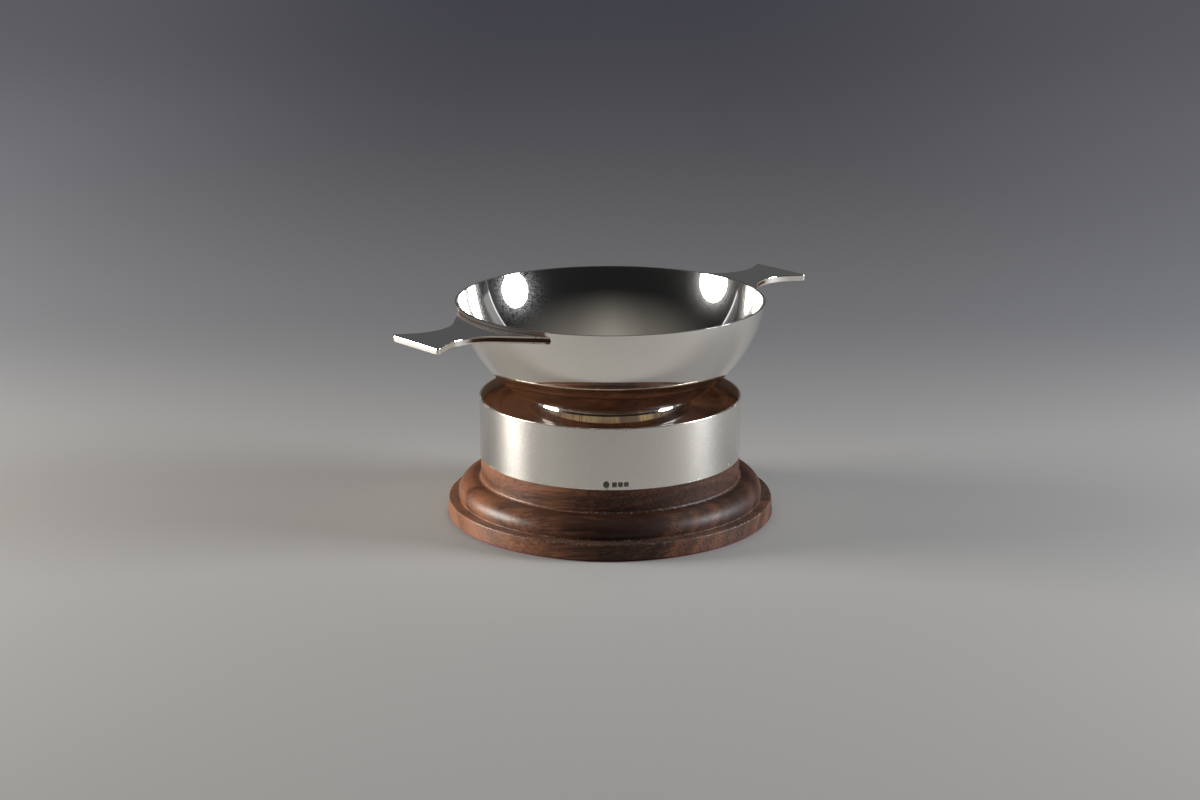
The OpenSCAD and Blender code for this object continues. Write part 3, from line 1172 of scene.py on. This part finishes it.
class QUAICH_OT_band(bpy.types.Operator):
    """Builds the band with its blank punches"""

    bl_idname = "quaich.band"
    bl_label = "Band"

    def execute(self, context):
        sizes, colours = chosen(context)
        low, high, out = BAND_LOW.z, BAND_HIGH.z, BAND_HIGH.x
        shape = turned(rounded(band_rows(sizes)), True, band_angles(), band_shift(sizes))
        mesh = new_mesh("band_ring", *shape)
        marks = []
        for x, y, z in shape[0]:
            outside = math.hypot(x, y) > out - sizes.band_wall / 2
            marks.append(punch_share(math.atan2(y, x), z) if outside else 0.0)
        mesh.attributes.new("oxide", "FLOAT", "POINT").data.foreach_set("value", marks)

        def corners(s, radius, height):
            """Spots along both edges, oxide in the punches, and old tarnish inside, golden in front."""
            edges = s.plus(
                s.ramp(height, low + 0.0002, low + 0.0011, 0.7, 0.0),
                s.ramp(height, high - 0.0014, high - 0.0003, 0.0, 0.45),
            )
            spots = s.times(edges, s.ramp(s.noise(170, 5, 0.75), 0.55, 0.68))
            inner = s.ramp(radius, out - 0.0006, out - 0.0004, 0.9, 0.0)
            oxide = s.attribute("oxide")
            runs = s.ramp(s.noise(1, 3, 0.65, s.mapped(scale=(520, 520, 90))), 0.5, 0.66)
            right, away, _ = s.from_front()
            gap = s.ramp(s.sums("ABSOLUTE", s.plus(right, -0.018)), 0.007, 0.012, 1.0, 0.0)
            brown = s.sums("MAXIMUM", s.ramp(away, -0.03, -0.012), gap)
            old = s.mix(runs, colours.old_tarnish, colours.tarnish)
            old = s.mix(brown, old, dimmed(colours.tarnish, 0.6))
            stain = s.mix(oxide, s.mix(inner, colours.tarnish, old), dimmed(colours.tarnish, 0.15))
            return s.sums("MINIMUM", s.plus(spots, inner, s.times(oxide, 0.85)), 0.9), stain

        # The band is darkened on its left with painted shade
        silver = silver_surface(
            "silver_band_face", colours, 0.2, True, brushed=0.72, film=0.1, painted_shade_left=0.2, tarnish=corners
        )
        add_piece("band_ring", mesh, silver, "plinth", "silver", "silver_band")
        return {"FINISHED"}


class QUAICH_OT_pins(bpy.types.Operator):
    """Builds the pins that hold the band, dressed almost flush with its face"""

    bl_idname = "quaich.pins"
    bl_label = "Band pins"

    def execute(self, context):
        sizes, colours = chosen(context)
        r, length = sizes.pin_radius, sizes.pin_length
        end = length + PIN_PROUD
        rows = rounded([corner(0, 0), corner(r, 0, r / 5), corner(r, end, r / 3), corner(0, end)])
        pin = turned(rows, False, [2 * math.pi * j / PIN_STEPS for j in range(PIN_STEPS)])
        inwards = Matrix.Translation((BAND_HIGH.x - length, 0, BAND_LOW.z + sizes.pin_rise))
        laid = inwards @ Matrix.Rotation(math.pi / 2, 4, "Y")
        angles = [sizes.pin_angle + i * 2 * math.pi / PIN_COUNT for i in range(PIN_COUNT)]
        pins = joined(placed(pin, Matrix.Rotation(angle, 4, "Z") @ laid) for angle in angles)
        silver = silver_surface("silver_pins", colours, 0.3, False, film=0.2)
        mesh = new_mesh("band_pin_ends", *pins)
        add_piece("band_pin_ends", mesh, silver, "plinth", "silver", "band_pins")
        return {"FINISHED"}


class QUAICH_OT_drum(bpy.types.Operator):
    """Builds the turned drum"""

    bl_idname = "quaich.drum"
    bl_label = "Drum"

    def execute(self, context):
        sizes, colours = chosen(context)
        mesh = new_mesh("drum_turned", *turned(rounded(drum_rows(sizes)), False))
        turn = VIEW_TURN + math.radians(25)
        wood = wood_surface("wood_drum", colours, turn, (0.0, 0.035, 0.06), DRUM_LOW.z, has_top=True)
        add_piece("drum_turned", mesh, wood, "plinth", "wood", "plinth_drum")
        return {"FINISHED"}


class QUAICH_OT_base(bpy.types.Operator):
    """Builds the moulded base"""

    bl_idname = "quaich.base"
    bl_label = "Base"

    def execute(self, context):
        sizes, colours = chosen(context)
        mesh = new_mesh("base_turned", *turned(rounded(base_rows(sizes)), False))
        turn, ledge = VIEW_TURN + math.radians(10), BASE_LOW.z + sizes.base_rim_height
        wood = wood_surface("wood_base", colours, turn, (0.02, -0.02, 0.05), ledge, has_top=False)
        add_piece("base_turned", mesh, wood, "plinth", "wood", "plinth_base")
        return {"FINISHED"}


class QUAICH_OT_screws(bpy.types.Operator):
    """Gives the screws under the plinth their finish"""

    bl_idname = "quaich.screws"
    bl_label = "Screws"

    def execute(self, context):
        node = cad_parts["drum_screws"]
        node.data.materials.clear()
        node.data.materials.append(steel_surface(context.scene.quaich_colours))
        return {"FINISHED"}


class QUAICH_OT_baize(bpy.types.Operator):
    """Builds the baize under the base, cut by hand a little unevenly"""

    bl_idname = "quaich.baize"
    bl_label = "Baize"

    def execute(self, context):
        low, high, cut = BAIZE_LOW.z, BAIZE_HIGH.z, BAIZE_HIGH.x
        edge = (high - low) * 0.4
        rows = rounded([corner(0, low), corner(cut, low, edge), corner(cut, high, edge), corner(0, high)])
        points, normals, faces = turned(rows, False)
        for i, (x, y, z) in enumerate(points):
            a = math.atan2(y, x)
            wander = 0.5 * math.sin(7 * a + 1) + 0.3 * math.sin(23 * a) + 0.2 * math.sin(61 * a + 2)
            uneven = 1 - 0.0012 * (1 + wander)
            points[i] = (x * uneven, y * uneven, z)
        mesh = new_mesh("baize_disc", points, normals, faces)
        baize = baize_surface(context.scene.quaich_colours)
        disc = add_piece("baize_disc", mesh, baize, "plinth", "baize", "baize_pad")
        return {"FINISHED"}


class QUAICH_OT_stage(bpy.types.Operator):
    """Sets up the floor, the lamps and the camera"""

    bl_idname = "quaich.stage"
    bl_label = "Stage"

    def execute(self, context):
        scene = context.scene
        facing = Matrix.Rotation(-VIEW_TURN, 4, "Z")
        self.floor(scene, facing)
        for lamp in LAMPS:
            self.lamp(scene, facing, *lamp)
        self.world(scene)
        self.camera(scene, facing)
        scene.view_settings.view_transform = "Standard"
        return {"FINISHED"}

    def floor(self, scene, facing):
        """A flat round floor."""
        mesh = new_mesh("floor", *turned([(r, 0.0, 0.0, 1.0) for r in FLOOR_RADII], False))
        mesh.materials.append(floor_surface(scene.quaich_colours))
        floor = bpy.data.objects.new("floor", mesh)
        floor.matrix_world = facing
        scene.collection.objects.link(floor)

    def lamp(self, scene, facing, name, place, size, power, colour):
        """A soft oval lamp at the side, upright, its face turned straight across the stage."""
        data = bpy.data.lights.new(name, "AREA")
        data.shape = "ELLIPSE"
        data.size, data.size_y = size
        data.energy = power
        data.color = colour
        lamp = bpy.data.objects.new(name, data)
        face = Vector((-math.copysign(1, place.x), 0, 0)).to_track_quat("-Z", "Y").to_matrix().to_4x4()
        lamp.matrix_world = facing @ Matrix.Translation(place) @ face
        lamp.visible_camera = False
        scene.collection.objects.link(lamp)

    def world(self, scene):
        """A dim room: dark behind the camera, with lit paper at both sides of the back and a warm ceiling."""
        world = bpy.data.worlds.new("studio")
        world.use_nodes = True
        scene.world = world
        room = Nodes(world.node_tree, "Generated")
        right, away, up = room.from_front()

        def fade(value, low, high, bottom, top):
            return room.ramp(value, low, high, bottom, top, "LINEAR")

        # On the left the paper's side edge lies further back, and its lower edge hangs lower
        across = room.plus(away, fade(right, -0.1, 0.1, -0.11, 0.0))
        rise = room.plus(up, fade(right, -0.1, 0.1, 0.035, 0.0))
        paper = room.times(fade(across, 0.322, 0.332, 0.0, 1.0), fade(away, 0.45, 0.5, 0.27, 0.08))
        edge = room.times(fade(across, 0.314, 0.32, 0.0, 1.0), fade(across, 0.334, 0.34, 1.0, 0.0))
        lit = room.times(room.plus(paper, edge), fade(up, 0.3, 0.7, 1.0, 0.1))
        back = room.plus(room.times(lit, fade(rise, 0.085, 0.115, 0.15, 1.0)), ROOM_GLOW)
        ceiling = room.times(room.sums("POWER", fade(up, 0.45, 1.0, 0.0, 1.0), 1.6), CEILING_GLOW)
        ceiling = room.times(ceiling, fade(room.sums("ABSOLUTE", right), 0.05, 0.4, 1.0, 0.65))
        lit_paper = (room.tree.nodes["Background"], PAPER_COLOUR, back)
        warm_ceiling = (room.add("ShaderNodeBackground"), CEILING_COLOUR, ceiling)
        both = room.add("ShaderNodeAddShader")
        for socket, (shader, colour, strength) in zip(both.inputs, (lit_paper, warm_ceiling)):
            shader.inputs["Color"].default_value = (*colour, 1.0)
            room.link(strength, shader.inputs["Strength"])
            room.link(shader.outputs[0], socket)
        room.link(both.outputs[0], room.tree.nodes["World Output"].inputs["Surface"])

    def camera(self, scene, facing):
        """The camera, level from side to side and tilted down."""
        data = bpy.data.cameras.new("camera")
        data.sensor_width = CAMERA_SENSOR
        data.lens = CAMERA_LENS
        data.clip_start, data.clip_end = 0.01, 50.0
        camera = bpy.data.objects.new("camera", data)
        tilt = Matrix.Rotation(math.pi / 2 - CAMERA_TILT, 4, "X")
        camera.matrix_world = facing @ Matrix.Translation(CAMERA_PLACE) @ tilt
        scene.collection.objects.link(camera)
        scene.camera = camera


STEPS = (
    QUAICH_OT_bowl,
    QUAICH_OT_lugs,
    QUAICH_OT_foot,
    QUAICH_OT_band,
    QUAICH_OT_pins,
    QUAICH_OT_drum,
    QUAICH_OT_base,
    QUAICH_OT_screws,
    QUAICH_OT_baize,
    QUAICH_OT_stage,
)


class QUAICH_PT_panel(bpy.types.Panel):
    """Lists the pieces, their sizes and colours"""

    bl_idname = "QUAICH_PT_panel"
    bl_label = "Quaich"
    bl_space_type = "VIEW_3D"
    bl_region_type = "UI"
    bl_category = "Quaich"

    def draw(self, context):
        for step in STEPS:
            self.layout.operator(step.bl_idname)
        for group in (context.scene.quaich_sizes, context.scene.quaich_colours):
            column = self.layout.column()
            for key in group.bl_rna.properties.keys():
                if key not in ("rna_type", "name"):
                    column.prop(group, key)


CLASSES = (QuaichSizes, QuaichColours, *STEPS, QUAICH_PT_panel)


def register():
    for kind in CLASSES:
        bpy.utils.register_class(kind)
    bpy.types.Scene.quaich_sizes = PointerProperty(type=QuaichSizes)
    bpy.types.Scene.quaich_colours = PointerProperty(type=QuaichColours)


def unregister():
    del bpy.types.Scene.quaich_colours
    del bpy.types.Scene.quaich_sizes
    for kind in reversed(CLASSES):
        bpy.utils.unregister_class(kind)


def main():
    register()
    bpy.ops.quaich.bowl()
    bpy.ops.quaich.lugs()
    bpy.ops.quaich.foot()
    bpy.ops.quaich.band()
    bpy.ops.quaich.pins()
    bpy.ops.quaich.drum()
    bpy.ops.quaich.base()
    bpy.ops.quaich.screws()
    bpy.ops.quaich.baize()
    bpy.ops.quaich.stage()


if __name__ == "__main__":
    main()
